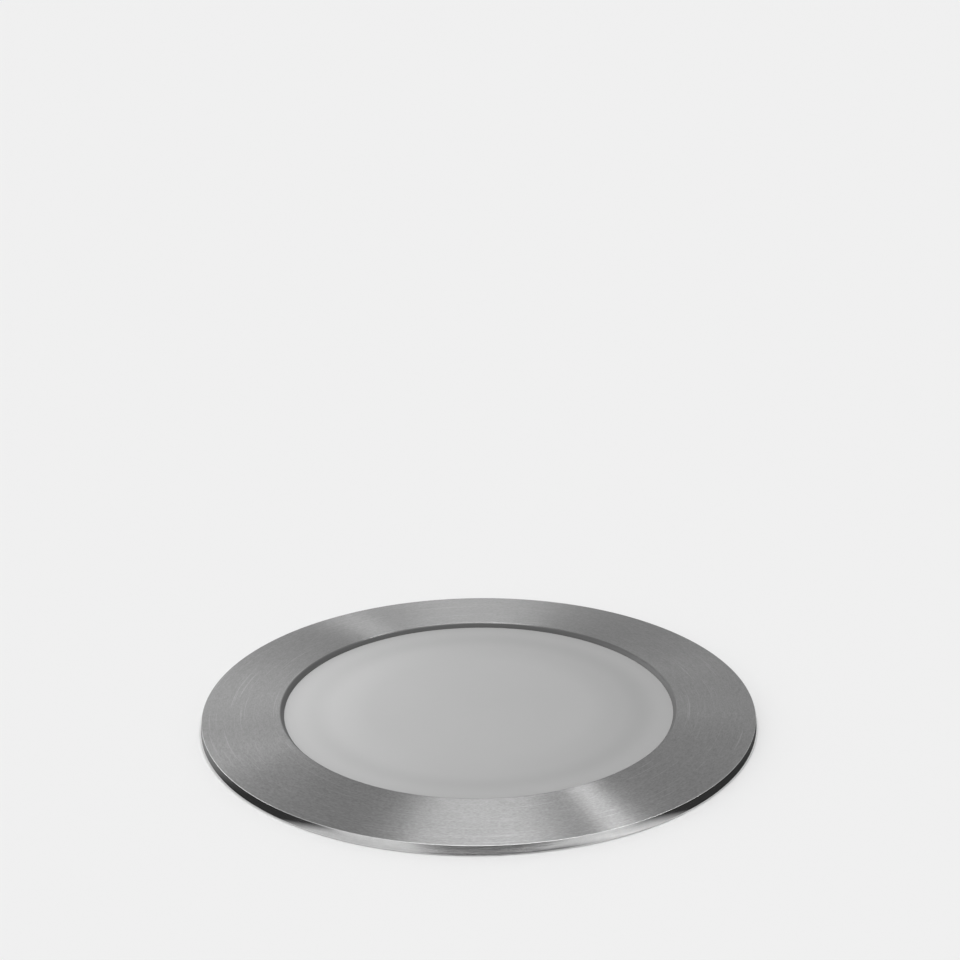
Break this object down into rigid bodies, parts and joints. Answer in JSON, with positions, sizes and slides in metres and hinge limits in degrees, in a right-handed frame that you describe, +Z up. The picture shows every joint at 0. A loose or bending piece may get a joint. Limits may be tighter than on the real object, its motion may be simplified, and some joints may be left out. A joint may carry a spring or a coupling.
{
  "type": "in ground well light",
  "caption": "Round recessed ground light: low brushed ring round frosted glass, on a finned sealed lamp unit in a buried sleeve.",
  "frame": {"origin": "centre of the ground plane, which is the underside of the ring's flange", "axes": "+Z up out of the ground; the conduit entries lie along X and the cable gland towards -Y"},
  "size_m": [0.15, 0.15, 0.1157],
  "materials": {
    "brushed_ring": "concentric brushed top, polished edge",
    "frosted_glass": "satin, frosted",
    "silicone": "matte translucent white",
    "seal_rubber": "matte",
    "cast_body": "die cast, powder grey",
    "steel_screws": "satin",
    "white_reflector": "matte white",
    "pad_rubber": "matte grey",
    "board": "white solder mask",
    "led_lens": "yellow phosphor",
    "driver_case": "black, fine texture",
    "lead_insulation": "smooth",
    "gland_nylon": "black nylon",
    "spring_steel": "rolled strip",
    "sleeve_plastic": "black, moulded"
  },
  "bodies": {
    "sleeve": {"mounting_sleeve": "sleeve_plastic", "conduit_hubs": "sleeve_plastic", "hub_locknuts": "sleeve_plastic", "blanking_plug": "sleeve_plastic"},
    "lamp_unit": {"trim_ring": "brushed_ring", "lens_glass": "frosted_glass", "lens_gasket": "silicone", "body_o_ring": "seal_rubber", "lamp_body": "cast_body", "ring_screws": "steel_screws", "reflector": "white_reflector", "thermal_pad": "pad_rubber", "led_board": "board", "leds": "led_lens", "board_screws": "steel_screws", "driver": "driver_case", "driver_screws": "steel_screws", "lead_grommet": "seal_rubber", "led_leads": "lead_insulation", "rear_gasket": "seal_rubber", "rear_cap": "cast_body", "rear_cap_screws": "steel_screws", "gland_body": "gland_nylon", "gland_o_ring": "seal_rubber", "gland_seal": "seal_rubber", "gland_nut": "gland_nylon", "gland_locknut": "gland_nylon", "breather_vent": "gland_nylon", "leaf_springs": "spring_steel", "spring_screws": "steel_screws", "seat_gasket": "seal_rubber"}
  },
  "joints": [
    {"name": "lamp_lift", "type": "slide", "parent": "sleeve", "child": "lamp_unit", "axis": [0, 0, 1], "range_m": [0, 0.095]}
  ]
}
